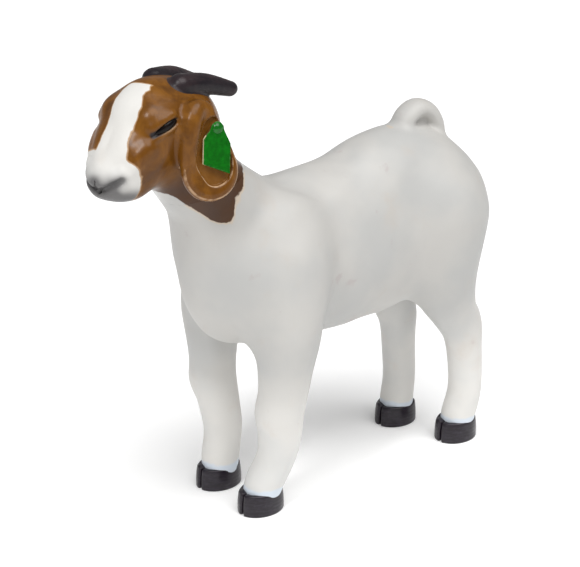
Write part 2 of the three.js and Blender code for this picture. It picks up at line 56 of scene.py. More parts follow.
def turned(x=0.0, y=0.0, z=0.0):
    """A rotation matrix: about X first, then Y, then Z, in degrees."""
    rx, ry, rz = (math.radians(angle) for angle in (x, y, z))
    about_x = np.array([[1, 0, 0], [0, math.cos(rx), -math.sin(rx)], [0, math.sin(rx), math.cos(rx)]])
    about_y = np.array([[math.cos(ry), 0, math.sin(ry)], [0, 1, 0], [-math.sin(ry), 0, math.cos(ry)]])
    about_z = np.array([[math.cos(rz), -math.sin(rz), 0], [math.sin(rz), math.cos(rz), 0], [0, 0, 1]])
    return about_z @ about_y @ about_x


def ellipsoid(centre, radii, turn=None):
    centre = np.array(centre, float)
    radii = np.array(radii, float)

    def field(p):
        q = p - centre
        if turn is not None:
            q = q @ turn
        near = np.sqrt(((q / radii) ** 2).sum(-1))
        slope = np.sqrt(((q / radii**2) ** 2).sum(-1))
        return near * (near - 1) / np.maximum(slope, 1e-9)

    return field


def round_cone(start, end):
    """A cone with a ball at each end; each end is (x, y, z, radius)."""
    a = np.array(start[:3], float)
    axis = np.array(end[:3], float) - a
    squared = axis @ axis
    taper = start[3] - end[3]
    side = max(squared - taper * taper, 1e-9)

    def field(p):
        q = p - a
        along = q @ axis
        past = along - squared
        off = q * squared - along[..., None] * axis
        away = (off * off).sum(-1)
        start_ring = along * along * squared
        end_ring = past * past * squared
        lean = np.sign(taper) * taper * taper * away
        wall = (np.sqrt(away * side / squared) + along * taper) / squared - start[3]
        near_start = np.sqrt(away + start_ring) / squared - start[3]
        near_end = np.sqrt(away + end_ring) / squared - end[3]
        out = np.where(np.sign(along) * side * start_ring < lean, near_start, wall)
        return np.where(np.sign(past) * side * end_ring > lean, near_end, out)

    return field


def soft_min(a, b, reach):
    share = np.clip(0.5 + 0.5 * (b - a) / reach, 0, 1)
    return b + (a - b) * share - reach * share * (1 - share)


def soft_max(a, b, reach):
    return -soft_min(-a, -b, reach)


def blend(first, *more):
    """Joins fields in turn, each with its own blending reach."""

    def field(p):
        distance = first(p)
        for reach, other in more:
            distance = soft_min(distance, other(p), reach)
        return distance

    return field


def carve(first, *cuts):
    """Cuts fields out in turn, each with its own blending reach."""

    def field(p):
        distance = first(p)
        for reach, other in cuts:
            distance = soft_max(distance, -other(p), reach)
        return distance

    return field


def both(field):
    """The field and its mirror image."""

    def folded(p):
        q = p.copy()
        q[..., 0] = np.abs(q[..., 0])
        return field(q)

    return folded


def spline(before, start, end, after, t):
    leave = (end - before) / 2
    arrive = (after - start) / 2
    bend = 2 * start - 2 * end + leave + arrive
    lift = -3 * start + 3 * end - 2 * leave - arrive
    return bend * t**3 + lift * t**2 + leave * t + start


def stations(joints, steps):
    """Points along a smooth line through the joints."""
    joints = np.array(joints, float)
    last = len(joints) - 1
    made = []
    for n in range(last):
        four = [joints[min(max(i, 0), last)] for i in (n - 1, n, n + 1, n + 2)]
        made += [spline(*four, s / steps) for s in range(steps)]
    return made + [joints[last]]


MARGIN = 12.0


def boxed(field, low, high):
    """A field that is only worked out within a margin of its box; beyond that, the distance to the box."""
    low, high = np.array(low, float), np.array(high, float)

    def quicker(p):
        apart = np.sqrt((np.maximum(np.maximum(low - p, p - high), 0) ** 2).sum(-1))
        near = apart < MARGIN
        if near.any():
            apart[near] = field(p[near])
        return apart

    return quicker


def limb(joints, steps=4):
    """A smooth tube through the joints, each (x, y, z, radius)."""
    line = stations(joints, steps)
    cones = [round_cone(a, b) for a, b in zip(line[:-1], line[1:])]

    def tube(p):
        distance = cones[0](p)
        for cone in cones[1:]:
            distance = np.minimum(distance, cone(p))
        return distance

    ends = np.array(line)
    return boxed(tube, (ends[:, :3] - ends[:, 3:]).min(0), (ends[:, :3] + ends[:, 3:]).max(0))


def slope_of(field, points, step=0.05):
    """The field's gradient, from four probes at the corners of a tetrahedron."""
    total = np.zeros_like(points)
    for corner in ((1, 1, 1), (1, -1, -1), (-1, 1, -1), (-1, -1, 1)):
        way = np.array(corner, float)
        total += way * field(points + way * step)[:, None]
    return total / (4 * step)


def settle(field, points, reach, rounds=2):
    """Moves points onto the field's surface."""
    for _ in range(rounds):
        slope = slope_of(field, points)
        steep = np.maximum((slope**2).sum(-1), 0.05)
        move = np.clip(field(points) / steep, -reach, reach)
        points = points - slope * move[:, None]
    return points


def on_skin(field, path, sink=0.0):
    """A path of (x, y, z, radius) laid on the field's surface, sunk into it by a distance."""
    path = np.array(path, float)
    points = settle(field, path[:, :3], reach=3.0, rounds=6)
    normal = slope_of(field, points)
    normal /= np.linalg.norm(normal, axis=1)[:, None]
    return np.hstack([points - normal * sink, path[:, 3:]])


def raised(path, x=0.0, z=0.0, thick=None):
    """A copy of a path, moved, and with another radius if one is given."""
    made = np.array(path, float) + np.array([x, 0, z, 0])
    if thick is not None:
        made[:, 3] = thick
    return made


# ---------- the goat's shape ----------

FRONT_LEG = [
    (16.4, -14.6, 84, 12.4),
    (20.0, -17.0, 64, 10.5),
    (19.6, -18.0, 48, 8.4),
    (18.3, -18.2, 36, 7.6),
    (15.0, -17.4, 20, 6.6),
    (12.1, -20.8, 9, 6.3),
    (11.8, -21.2, 4, 6.2),
]
HIND_LEG = [
    (11.0, 55.0, 88, 17.0),
    (12.4, 56.0, 66, 12.4),
    (12.6, 63.8, 48, 7.6),
    (12.8, 67.8, 38, 6.5),
    (13.2, 69.4, 20, 5.9),
    (12.0, 67.6, 9, 6.1),
    (11.8, 67.4, 4, 6.0),
]
RIGHT_HIND_STEP = -8.0
STEP_FROM_HEIGHT = 86.0
STEP_FULL_HEIGHT = 44.0


def leg_joints(joints, side, step):
    made = []
    for x, y, z, radius in joints:
        share = (STEP_FROM_HEIGHT - z) / (STEP_FROM_HEIGHT - STEP_FULL_HEIGHT)
        made.append((side * x, y + step * min(max(share, 0), 1), z, radius))
    return made


LEGS = {
    "front_left": leg_joints(FRONT_LEG, 1, 0),
    "front_right": leg_joints(FRONT_LEG, -1, 0),
    "hind_left": leg_joints(HIND_LEG, 1, 0),
    "hind_right": leg_joints(HIND_LEG, -1, RIGHT_HIND_STEP),
}

HOOF_HEIGHT = 7.6
HOOF_MIDDLE = (0, -0.5, 2.5)
HOOF_RADII = (6.5, 8.1, 16)
HOOF_SPREAD = 0.175
RING_DEPTH = 0.025
RING_PITCH = 1.25

trunk = blend(
    ellipsoid((0, 4, 82), (20.5, 34, 27.2)),
    (8, ellipsoid((0, 30, 82.5), (21.5, 33, 29.2))),
    (10, ellipsoid((0, 46.5, 93), (18, 28, 24.3))),
    (8, both(ellipsoid((11, 56.0, 83.4), (11, 19.2, 25)))),
    (8, both(ellipsoid((14, -14, 83), (11.5, 16, 24), turned(x=-10)))),
    (8, ellipsoid((0, -24, 84), (17, 17, 27))),
    (9, round_cone((0, -23, 94, 17), (0, -40, 120, 11.5))),
)

HEAD_YAW = 8.5
HEAD_PIVOT = np.array([0, -38.0, 0])
head_turn = turned(z=HEAD_YAW)


def facing(points):
    """Points of the turned head, as they lie when it looks straight ahead."""
    return (points - HEAD_PIVOT) @ head_turn + HEAD_PIVOT


def faced(field):
    """A field drawn straight ahead, turned with the head."""

    def turned_field(p):
        return field(facing(p))

    return turned_field


skull = blend(
    ellipsoid((0, -55.5, 138), (10.2, 11.5, 10.3)),
    (6, ellipsoid((0, -47, 135), (13.5, 12.5, 12))),
    (5, both(ellipsoid((7.7, -56.5, 136.7), (5, 8, 6.4)))),
    (6, round_cone((0, -57, 133.5, 10), (0, -69.7, 123.2, 7.0))),
    (5, both(ellipsoid((5, -62, 128), (7, 9.5, 8)))),
    (4, both(ellipsoid((3.3, -67.5, 120.9), (4.6, 6.5, 5.0)))),
    (6, round_cone((0, -48, 127, 10), (0, -63, 120.2, 5.2))),
    (8, round_cone((0, -40, 118, 11.5), (0, -44, 130, 11.5))),
)

# Lines on the face, drawn straight ahead on its left half.
EYE_LINE = on_skin(skull, [
    (11.2, -63.9, 135.4, 0.3),
    (12.0, -62.0, 136.4, 0.95),
    (12.7, -59.6, 137.6, 1.25),
    (13.2, -57.4, 138.6, 0.9),
])
MOUTH_LINE = on_skin(skull, [
    (0.0, -76.4, 118.9, 0.6),
    (1.6, -76.3, 119.1, 0.6),
    (3.4, -75.6, 120.1, 0.55),
    (5.0, -74.4, 121.4, 0.45),
    (6.8, -72.6, 122.9, 0.25),
])
LIP_CLEFT = on_skin(skull, [
    (0.0, -77.0, 121.8, 0.3),
    (0.0, -76.6, 119.6, 0.5),
    (0.0, -75.4, 117.6, 0.5),
    (0.0, -73.6, 116.2, 0.3),
])
NOSTRIL = on_skin(skull, [(1.0, -77.0, 121.6, 0.3), (2.8, -76.8, 122.2, 0.3), (4.6, -75.6, 123.2, 0.3)])
CREST = on_skin(skull, [(11.6, -66.0, 131.6, 1.2), (10.2, -69.2, 128.6, 1.3), (8.8, -71.4, 125.6, 1.0)], sink=0.8)
LOWER_LID = on_skin(skull, raised(EYE_LINE, z=-1.6, thick=0.6), sink=0.15)
UPPER_LID = on_skin(skull, raised(EYE_LINE, z=2.0, thick=0.8), sink=0.2)
UPPER_LIP = on_skin(skull, raised(MOUTH_LINE, z=2.0, thick=1.2), sink=0.95)
LOWER_LIP = on_skin(skull, raised(MOUTH_LINE, z=-2.0, thick=1.3), sink=0.95)

face = carve(
    blend(
        skull,
        (3.6, both(ellipsoid((7.9, -60.6, 139.0), (3.6, 4.2, 3.4)))),
        (3.4, both(limb(CREST))),
        (1.3, both(limb(LOWER_LID))),
        (2.4, both(limb(UPPER_LID))),
        (2.4, both(limb(UPPER_LIP))),
        (2.4, both(limb(LOWER_LIP))),
        (2.4, ellipsoid((0, -70.0, 118.5), (5.0, 5.4, 3.0))),
    ),
    (2.0, both(limb(MOUTH_LINE))),
    (1.2, limb(LIP_CLEFT)),
    (0.5, both(limb(raised(EYE_LINE, x=0.5)))),
)

figure = blend(
    trunk,
    (6, boxed(faced(face), (-20, -80, 103), (20, -28, 150))),
    (7, limb(LEGS["front_left"])),
    (7, limb(LEGS["front_right"])),
    (6, limb(LEGS["hind_left"])),
    (6, limb(LEGS["hind_right"])),
    (5, boxed(both(ellipsoid((18.2, -20.6, 36.5), (5.0, 4.2, 5.0))), (-30, -36, 20), (30, -8, 54))),
    (6, boxed(ellipsoid((13.0, 69.8, 45.0), (3.2, 3.4, 5.5)), (0, 56, 28), (26, 84, 62))),
    (6, boxed(ellipsoid((-13.0, 61.8, 45.0), (3.2, 3.4, 5.5)), (-26, 48, 28), (0, 76, 62))),
    (6, boxed(both(ellipsoid((17.5, -14.0, 62.0), (8.0, 7.0, 9.0))), (-36, -32, 42), (36, 6, 82))),
    (7, boxed(ellipsoid((0, 8, 67.5), (17.5, 22, 11)), (-36, -36, 40), (36, 46, 96))),
)


WAVE_HEIGHT = 0.10
RIPPLE_HEIGHT = 0.05


def goat(p):
    """The whole sculpture, with the slow unevenness of hand modelling."""
    x, y, z = p[..., 0], p[..., 1], p[..., 2]
    waves = np.sin(0.31 * x + 0.17 * y + 1.3) * np.sin(0.23 * z - 0.11 * y) + np.sin(0.19 * y + 0.27 * z)
    ripples = np.sin(0.61 * x - 0.37 * z) * np.sin(0.47 * y + 0.9)
    return figure(p) + WAVE_HEIGHT * waves + RIPPLE_HEIGHT * ripples


TAIL = [
    (0, 61.2, 108, 3.6),
    (0, 62.0, 114.2, 3.4),
    (0, 59.2, 119.6, 3.2),
    (0, 54.2, 121.6, 3.2),
    (0, 49.4, 119.2, 3.2),
    (0, 47.0, 114.6, 3.0),
    (0, 47.4, 110.0, 2.6),
]
TAIL_WIDENING = 1.45
TAIL_WEB = ellipsoid((0, 54.4, 113.4), (2.4, 6.2, 7))
HORN = [
    (5.6, -47.6, 146.2, 3.8),
    (7.0, -39.4, 145.4, 3.5),
    (8.6, -30.4, 142.6, 2.6),
]
HORN_FLATNESS = 1.1
HORN_RIPPLE = 0.012

EAR_CENTRE = np.array([16.0, -48.2, 129.6])
EAR_TURN = -24
EAR_LEAN = 8
EAR_FLARE = -10
EAR_ROOT = (0, 0.8, 8.6, 4.6)
EAR_LOBE = (0, 0, -7.4, 8.6)
EAR_THICKNESS = 4.4
EAR_FLOOR = 0.8
EAR_ROLL = [
    (-0.6, 3.8, 10.2, 1.5),
    (0.6, 0.4, 11.6, 2.7),
    (1.5, -2.8, 8.4, 3.4),
    (1.4, -5.0, 2.0, 3.0),
    (0.5, -6.5, -6.0, 2.1),
    (0.5, -4.8, -12.3, 2.0),
    (0.5, 0.0, -14.2, 1.9),
    (0.4, 4.6, -12.3, 1.7),
    (0.3, 6.9, -7.4, 1.4),
    (0.2, 6.6, -1.0, 1.0),
]
EAR_RECESS = [(-2.9, -8.6), (-4.2, -4.4), (-3.2, 0.6), (-0.6, 5.0), (2.4, 8.0), (5.0, 7.6), (6.6, 2.0),
              (6.9, -6.0), (5.0, -10.4), (1.4, -12.0), (-1.4, -11.2)]
ear_turn = turned(z=EAR_TURN) @ turned(y=EAR_FLARE) @ turned(x=EAR_LEAN)


def outline_distance(across, up, corners):
    """Distance to a closed outline in a plane, negative inside."""
    best = np.full(across.shape, np.inf)
    inside = np.zeros(across.shape, bool)
    for (x0, y0), (x1, y1) in zip(corners, corners[1:] + corners[:1]):
        dx, dy = x1 - x0, y1 - y0
        share = np.clip(((across - x0) * dx + (up - y0) * dy) / (dx * dx + dy * dy), 0, 1)
        best = np.minimum(best, np.hypot(across - x0 - share * dx, up - y0 - share * dy))
        crosses = (y0 > up) != (y1 > up)
        if dy:
            inside ^= crosses & (across < (up - y0) * dx / dy + x0)
    return np.where(inside, -best, best)


def smooth_outline(corners, steps=4):
    """A closed outline rounded by a spline through its corners."""
    points = np.array(corners, float)
    count = len(points)
    made = []
    for n in range(count):
        four = [points[(n + i) % count] for i in (-1, 0, 1, 2)]
        made += [tuple(spline(*four, s / steps)) for s in range(steps)]
    return made


def on_ear(points):
    """Points in the left ear's own frame: X out of its face, Y to its rear edge, Z up."""
    return (facing(points) - EAR_CENTRE) @ ear_turn


recess_outline = smooth_outline(EAR_RECESS)
leaf = round_cone(EAR_ROOT, EAR_LOBE)
roll = limb(EAR_ROLL)


def ear_plate(q):
    flat = q.copy()
    flat[..., 0] = 0
    rim = EAR_THICKNESS / 2
    return np.hypot(np.maximum(leaf(flat) + rim, 0), q[..., 0]) - rim


def ear_shape(q):
    """The drooping ear with its rolled edge and flat recess, in its own frame."""
    solid = soft_min(ear_plate(q), roll(q), 1.2)
    recess = outline_distance(q[..., 1], q[..., 2], recess_outline)
    cut = soft_max(recess, EAR_FLOOR - q[..., 0], 0.7)
    return soft_max(solid, -cut, 0.5)


def mirrored(points):
    """Points of the head's right side, moved over to its left side."""
    ahead = facing(points)
    ahead[..., 0] *= -1
    return (ahead - HEAD_PIVOT) @ head_turn.T + HEAD_PIVOT


def ear(p):
    return ear_shape(on_ear(p))


tail_ribbon = limb(TAIL)


def tail(p):
    return soft_min(tail_ribbon(p / np.array([TAIL_WIDENING, 1, 1])), TAIL_WEB(p), 1.0)


horn_line = limb([(x, y, z * HORN_FLATNESS, radius) for x, y, z, radius in HORN], 6)


def horn(p):
    q = facing(p)
    ripple = HORN_RIPPLE * np.sin(q[..., 1] * 3.1 + 0.35 * q[..., 2])
    return horn_line(q * np.array([1, 1, HORN_FLATNESS])) / HORN_FLATNESS + ripple


def rooted(field, base, reach, sink=0.05):
    """A piece with a fillet that dives under the skin of the piece it grows from."""

    def joined(p):
        own = field(p)
        return np.maximum(soft_min(own, base(p) + sink, reach), own - reach)

    return joined


# ---------- skins ----------

BLOCK = 8
HALF_DIAGONAL = 0.87
SAFETY = 1.6
BLOCKS_AT_ONCE = 64
CORNERS = [(i, j, k) for i in (0, 1) for j in (0, 1) for k in (0, 1)]


def sampled(field, low, high, cell):
    """The field on a grid; blocks far from the surface keep the value at their middle."""
    low = np.array(low, float)
    blocks = np.ceil((np.array(high, float) - low) / (cell * BLOCK)).astype(int)
    index = np.stack(np.meshgrid(*[np.arange(n) for n in blocks], indexing="ij"), -1)
    middle = field(low + (index + 0.5) * BLOCK * cell)
    value = middle
    for axis in range(3):
        value = np.repeat(value, BLOCK, axis)
    value = np.pad(value, [(0, 1)] * 3, mode="edge")
    near = index[np.abs(middle) < BLOCK * cell * HALF_DIAGONAL * SAFETY]
    steps = np.stack(np.meshgrid(*[np.arange(BLOCK + 1)] * 3, indexing="ij"), -1)
    for chunk in np.array_split(near, max(len(near) // BLOCKS_AT_ONCE, 1)):
        found = field(low + (chunk[:, None, None, None] * BLOCK + steps) * cell)
        for (i, j, k), block in zip(chunk * BLOCK, found):
            value[i:i + BLOCK + 1, j:j + BLOCK + 1, k:k + BLOCK + 1] = block
    return value


def untangled(value, cell):
    """Fills grid squares whose inside corners meet only diagonally, so that no edge carries four faces."""
    while True:
        inside = value < 0
        crossed_at = np.zeros(value.shape, bool)
        for axis in range(3):
            near = [slice(None)] * 3
            squares = []
            for i, j in ((0, 0), (1, 0), (0, 1), (1, 1)):
                for along, start in (((axis + 1) % 3, i), ((axis + 2) % 3, j)):
                    near[along] = slice(start, value.shape[along] - 1 + start)
                squares.append(tuple(near))
            a, b, c, d = [inside[square] for square in squares]
            crossed = (a == d) & (b == c) & (a != b)
            for square in squares:
                crossed_at[square] |= crossed
        crossed_at &= ~inside
        if not crossed_at.any():
            return value
        value = np.where(crossed_at, -0.01 * cell, value)


def largest_body(points, faces):
    """Keeps the largest connected surface."""
    label = np.arange(len(points))
    while True:
        lowest = label.copy()
        np.minimum.at(lowest, faces.ravel(), np.repeat(label[faces].min(axis=1), 4))
        lowest = lowest[lowest]
        if np.array_equal(lowest, label):
            break
        label = lowest
    home = label[faces[:, 0]]
    used, numbered = np.unique(faces[home == np.bincount(home).argmax()], return_inverse=True)
    return points[used], numbered.reshape(-1, 4)


def skin(field, low, high, cell):
    """Points and four-sided faces of the field's surface, facing out."""
    value = untangled(sampled(field, low, high, cell), cell)
    inside = value < 0
    shape = np.array(value.shape)
    count = sum(inside[i:shape[0] - 1 + i, j:shape[1] - 1 + j, k:shape[2] - 1 + k].astype(np.int8)
                for i, j, k in CORNERS)
    cells = np.argwhere((count > 0) & (count < 8))
    number = np.full(tuple(shape - 1), -1)
    number[tuple(cells.T)] = np.arange(len(cells))
    total = np.zeros((len(cells), 3))
    crossings = np.zeros(len(cells))
    for axis in range(3):
        for corner in CORNERS:
            if corner[axis]:
                continue
            start = cells + corner
            end = start.copy()
            end[:, axis] += 1
            a, b = value[tuple(start.T)], value[tuple(end.T)]
            cut = (a < 0) != (b < 0)
            share = np.where(cut, a / np.where(cut, a - b, 1), 0)
            spot = np.array(corner) + share[:, None] * np.eye(3)[axis]
            total += np.where(cut[:, None], spot, 0)
            crossings += cut
    points = np.array(low) + (cells + total / crossings[:, None]) * cell
    faces = []
    for axis in range(3):
        u, v = (axis + 1) % 3, (axis + 2) % 3
        step = np.eye(3, dtype=int)
        change = np.argwhere(np.diff(inside.astype(np.int8), axis=axis) != 0)
        change = change[(change[:, u] > 0) & (change[:, v] > 0)]
        change = change[(change[:, u] < shape[u] - 1) & (change[:, v] < shape[v] - 1)]
        ring = np.stack([number[tuple((change - step[u] - step[v]).T)], number[tuple((change - step[v]).T)],
                         number[tuple(change.T)], number[tuple((change - step[u]).T)]], 1)
        out = inside[tuple(change.T)]
        faces.append(np.where(out[:, None], ring, ring[:, ::-1]))
    points, faces = largest_body(points, np.concatenate(faces))
    return settle(field, points, cell * 0.7), faces


# The sculpture is moved along Y so that its rear hoof ends where the CAD part's does.
HOOF_REAR = HIND_LEG[-1][1] + HOOF_MIDDLE[1] + HOOF_RADII[1]
SHIFT_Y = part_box("hoof_hind_left")[1].y / MM - HOOF_REAR


def to_frame(points):
    """Sculpture millimetres to frame metres."""
    return (points + np.array([0, SHIFT_Y, 0])) * MM


def from_frame(mesh):
    """A mesh's points in sculpture millimetres."""
    flat = np.zeros(len(mesh.vertices) * 3)
    mesh.vertices.foreach_get("co", flat)
    return flat.reshape(-1, 3) / MM - np.array([0, SHIFT_Y, 0])


def mesh_object(name, points, faces):
    mesh = bpy.data.meshes.new(name)
    mesh.from_pydata(to_frame(points).tolist(), [], faces.tolist())
    mesh.polygons.foreach_set("use_smooth", [True] * len(mesh.polygons))
    made = bpy.data.objects.new(name, mesh)
    bpy.context.scene.collection.objects.link(made)
    return made


def keep_side(piece, point, normal):
    """Cuts a piece along a plane, drops what lies beyond it and closes the cut with a flat cap."""
    shape = bmesh.new()
    shape.from_mesh(piece.data)
    geometry = shape.verts[:] + shape.edges[:] + shape.faces[:]
    cut = bmesh.ops.bisect_plane(shape, geom=geometry, dist=1e-7, plane_co=to_frame(np.array(point)),
                                 plane_no=normal, clear_outer=True)
    rim = [item for item in cut["geom_cut"] if isinstance(item, bmesh.types.BMEdge) and item.is_boundary]
    caps = bmesh.ops.holes_fill(shape, edges=rim)["faces"]
    for edge in rim:
        edge.smooth = False
    for cap in caps:
        cap.smooth = False
    bmesh.ops.triangulate(shape, faces=caps)
    shape.to_mesh(piece.data)
    shape.free()


def paint(piece, name, values):
    """Keeps one number on each point of a piece for its material."""
    layer = piece.data.attributes.new(name, "FLOAT", "POINT")
    layer.data.foreach_set("value", np.asarray(values, np.float32))


# ---------- painted areas ----------

NECK_AXIS_Y = -36.0
NECK_ROUND = 14.0
HAIRLINE = [(0, 113.2), (12, 113.4), (21, 113.4), (30, 111.9), (39, 109.4), (51, 107.7), (65, 105.4), (81, 103.4),
            (91, 102.9), (97, 103.6), (100.5, 105.6), (104, 109.4), (116, 111.9), (130, 115.3), (140, 116.8),
            (160, 117.6), (180, 117.9)]


def coat_distance(points):
    """How far a point lies inside the brown coat of head and neck."""
    x, y, z = points.T
    angle = np.degrees(np.arctan2(np.abs(x), NECK_AXIS_Y - y))
    angles, heights = np.array(HAIRLINE, float).T
    border = np.interp(angle, angles, heights)
    rise = np.gradient(heights, np.radians(angles) * NECK_ROUND)
    return (z - border) / np.hypot(1, np.interp(angle, angles, rise))


BLAZE_CENTRE = (-50.0, 128.0)
BLAZE_RIGHT = [(-60, 11), (-40, 10.4), (-19, 9.8), (-4, 8.9), (3, 8.0), (12, 7.1), (24, 6.4), (38, 6.9), (47, 6.7),
               (55, 4.9), (60, 4.4), (64, 4.9), (68, 3.8)]
BLAZE_LEFT = [(-60, 11), (-40, 9.6), (-19, 9.0), (-9, 7.4), (-4, 4.6), (3, 3.6), (12, 3.2), (24, 2.9), (38, 3.2),
              (47, 3.7), (55, 3.4), (62, 2.9), (68, 2.0)]
BLAZE_TOP = 66.0
BLAZE_LOW = -14.0
MM_PER_DEGREE = 0.35
JAW_SLOPE = 1.06
JAW_FROM = 52.5
JAW_REAR = -67.3


def blaze_distance(points):
    """How far a point lies inside the white of face and muzzle."""
    x, y, z = facing(points).T
    angle = np.degrees(np.arctan2(z - BLAZE_CENTRE[1], BLAZE_CENTRE[0] - y))
    right = np.interp(angle, *np.array(BLAZE_RIGHT, float).T) - x
    left = np.interp(angle, *np.array(BLAZE_LEFT, float).T) + x
    top = (BLAZE_TOP + 0.8 * x - angle) * MM_PER_DEGREE
    low = (angle - BLAZE_LOW) * MM_PER_DEGREE
    stripe = np.minimum(np.minimum(right, left), np.minimum(top, low))
    cheek = (JAW_FROM - z - JAW_SLOPE * y) / math.hypot(1, JAW_SLOPE)
    jaw = soft_min(cheek, JAW_REAR - y, 3.0)
    return soft_max(stripe, jaw, 0.5)


def line_distance(path, points):
    """Distance from points, drawn straight ahead and folded to the left, to a line."""
    thin = np.array(path, float)
    thin[:, 3] = 0.01
    return both(limb(thin))(points)


def glow(distance, width):
    """1 at a line, fading to nothing a few widths away from it."""
    return np.exp(-((np.maximum(distance, 0) / width) ** 2))


# Where the darker brown of the neck ends: a plane that rises to the rear.
NAPE_HEIGHT = 114.0
NAPE_SLOPE = 0.45
NAPE_FRONT = -60.0

# Grey round the muzzle is partly airbrushed paint and partly painted shade under the chin, under the lower lip and
# in the mouth crease.
CHIN_SHADE = ellipsoid((3.6, -71.0, 116.0), (3.4, 4.0, 1.4))
LOWER_LIP_SHADE = ellipsoid((1.2, -75.6, 117.2), (3.2, 2.0, 1.2))


def paint_head(piece):
    points = from_frame(piece.data)
    ahead = facing(points)
    folded = np.abs(ahead) * [1, -1, 1]
    paint(piece, "coat", coat_distance(points))
    paint(piece, "nape", points[:, 2] - NAPE_HEIGHT - NAPE_SLOPE * (points[:, 1] - NAPE_FRONT))
    paint(piece, "blaze", blaze_distance(points))
    mouth = line_distance(MOUTH_LINE, ahead)
    nostril = line_distance(NOSTRIL, ahead)
    cleft = line_distance(LIP_CLEFT, ahead)
    # Grey spots: airbrushed paint round nose and mouth, and painted shade under the lower lip, under the chin and in
    # the mouth crease.
    greys_and_shade = ((0.95, LOWER_LIP_SHADE(folded), 2.0), (0.7, mouth, 2.0), (0.35, nostril, 2.6), (0.6, cleft, 2.4),
             (0.9, CHIN_SHADE(folded), 3.2))
    paint(piece, "shade", np.clip(sum(share * glow(distance, width) for share, distance, width in greys_and_shade), 0, 1))
    paint(piece, "ink", np.clip(glow(mouth, 0.6) + 0.6 * glow(cleft, 0.4), 0, 1))
    paint(piece, "lid", np.clip(glow(line_distance(LOWER_LID, ahead) - 0.1, 0.32), 0, 1))
    # Round the eye the dark paint is painted shade in its socket.
    paint(piece, "socket", glow(line_distance(EYE_LINE, ahead) - 0.9, 0.35))


def paint_body(piece):
    points = from_frame(piece.data)
    paint(piece, "coat", coat_distance(points))
    paint(piece, "ankle", points[:, 2] - HOOF_HEIGHT)


NOWHERE = 20.0
RECESS_WALL = 1.7
EDGE_INSET = 0.3
EDGE_OUT = 2.2
EDGE_TOP = -3.0


def paint_ear(side):
    def painted(piece):
        points = from_frame(piece.data)
        if side == "right":
            points = mirrored(points)
        q = on_ear(points)
        rim = outline_distance(q[:, 1], q[:, 2], recess_outline)
        outside = leaf(q * [0, 1, 1])
        out, up = q[:, 0], q[:, 2]
        front = out > 0
        paint(piece, "rim", np.abs(rim) + np.maximum(RECESS_WALL - out, 0) + np.where(front, 0, NOWHERE))
        paint(piece, "edge", np.abs(outside + EDGE_INSET) + np.maximum(out - EDGE_OUT, 0) * 2
              + np.maximum(up - EDGE_TOP, 0))
        paint(piece, "floor", np.where(front, -rim, -NOWHERE))

    return painted


# ---------- hooves, tag and eyes ----------

def hoof_shape(foot):
    """A cloven hoof with growth rings and a soft top edge, under a foot at (x, y)."""
    middle = np.array([foot[0], foot[1], 0])
    bulk = ellipsoid(HOOF_MIDDLE, HOOF_RADII)

    def field(p):
        q = p - middle
        x, y, z = q[..., 0], q[..., 1], q[..., 2]
        wavy_top = z - HOOF_HEIGHT + 0.18 * np.sin(1.1 * x + 0.4) + 0.12 * np.sin(0.9 * y)
        rings = RING_DEPTH * np.sin(2 * np.pi * (z + 0.05 * y) / RING_PITCH)
        wall = bulk(q) + rings - HOOF_SPREAD * np.clip(1 - z / HOOF_HEIGHT, 0, 1)
        block = soft_max(soft_max(wall, wavy_top, 0.7), -z, 0.5)
        front = np.clip((-y - 1.5) / 7.0, 0, 1)
        groove = 0.05 + 0.42 * front - np.abs(x + 0.05 * y)
        shallow = groove - 1.2 * (1 - front)
        return soft_max(block, shallow, 0.7)

    return field


TAG_THICKNESS = 1.3
TAG_SEAT = 1.9
TAG_REAR = 2.8
TAG_RISE = -0.7
tag_turn = math.radians(14)
TAG_OUTLINE = [(-4.2, -4.95), (4.2, -7.75), (4.2, 1.2), (2.1, 5.2), (1.9, 6.4), (1.0, 7.4), (0.0, 7.75), (-1.0, 7.4),
               (-1.9, 6.4), (-2.3, 5.2), (-4.2, 2.4)]
TAG_ROUNDING = 0.3
STUD_AT = (0.0, 5.65)
STUD_RADIUS = 1.7
STUD_DOME = 1.6


def on_tag(points):
    """How far a point lies across and up the tag, and how far out of the ear."""
    q = on_ear(points)
    rear, rise = q[..., 1] - TAG_REAR, q[..., 2] - TAG_RISE
    across = rear * math.cos(tag_turn) - rise * math.sin(tag_turn)
    return across, rear * math.sin(tag_turn) + rise * math.cos(tag_turn), q[..., 0]


def tag_shape(p):
    across, up, out = on_tag(p)
    edge = outline_distance(across, up, TAG_OUTLINE) + TAG_ROUNDING
    depth = np.abs(out - TAG_SEAT - TAG_THICKNESS / 2) - TAG_THICKNESS / 2 + TAG_ROUNDING
    rounded = np.hypot(np.maximum(edge, 0), np.maximum(depth, 0)) + np.minimum(np.maximum(edge, depth), 0)
    return rounded - TAG_ROUNDING


def stud_shape(p):
    """A domed button with a shallow rim."""
    across, up, out = on_tag(p)
    away = np.hypot(across - STUD_AT[0], up - STUD_AT[1])
    height = out - TAG_SEAT - TAG_THICKNESS
    dome = np.hypot(away, height + STUD_DOME) - math.hypot(STUD_RADIUS, STUD_DOME)
    return soft_max(soft_max(dome, away - STUD_RADIUS, 0.25), -height - 0.3, 0.15)


TAG_PAINT_LIP = 0.2
TAG_FRONT = 3.4


def paint_tag(piece):
    across, up, out = on_tag(from_frame(piece.data))
    paint(piece, "side", TAG_SEAT + TAG_THICKNESS - TAG_PAINT_LIP - out)
    paint(piece, "front_edge", -across - TAG_FRONT)
    paint(piece, "wear", outline_distance(across, up, TAG_OUTLINE))


EYE_SINK = 0.9
EYE_FULLNESS = 0.35
eye_bead = limb(on_skin(skull, EYE_LINE, EYE_SINK) + np.array([0, 0, 0, EYE_FULLNESS]))


def eye(p):
    return eye_bead(facing(p))


# ---------- materials ----------


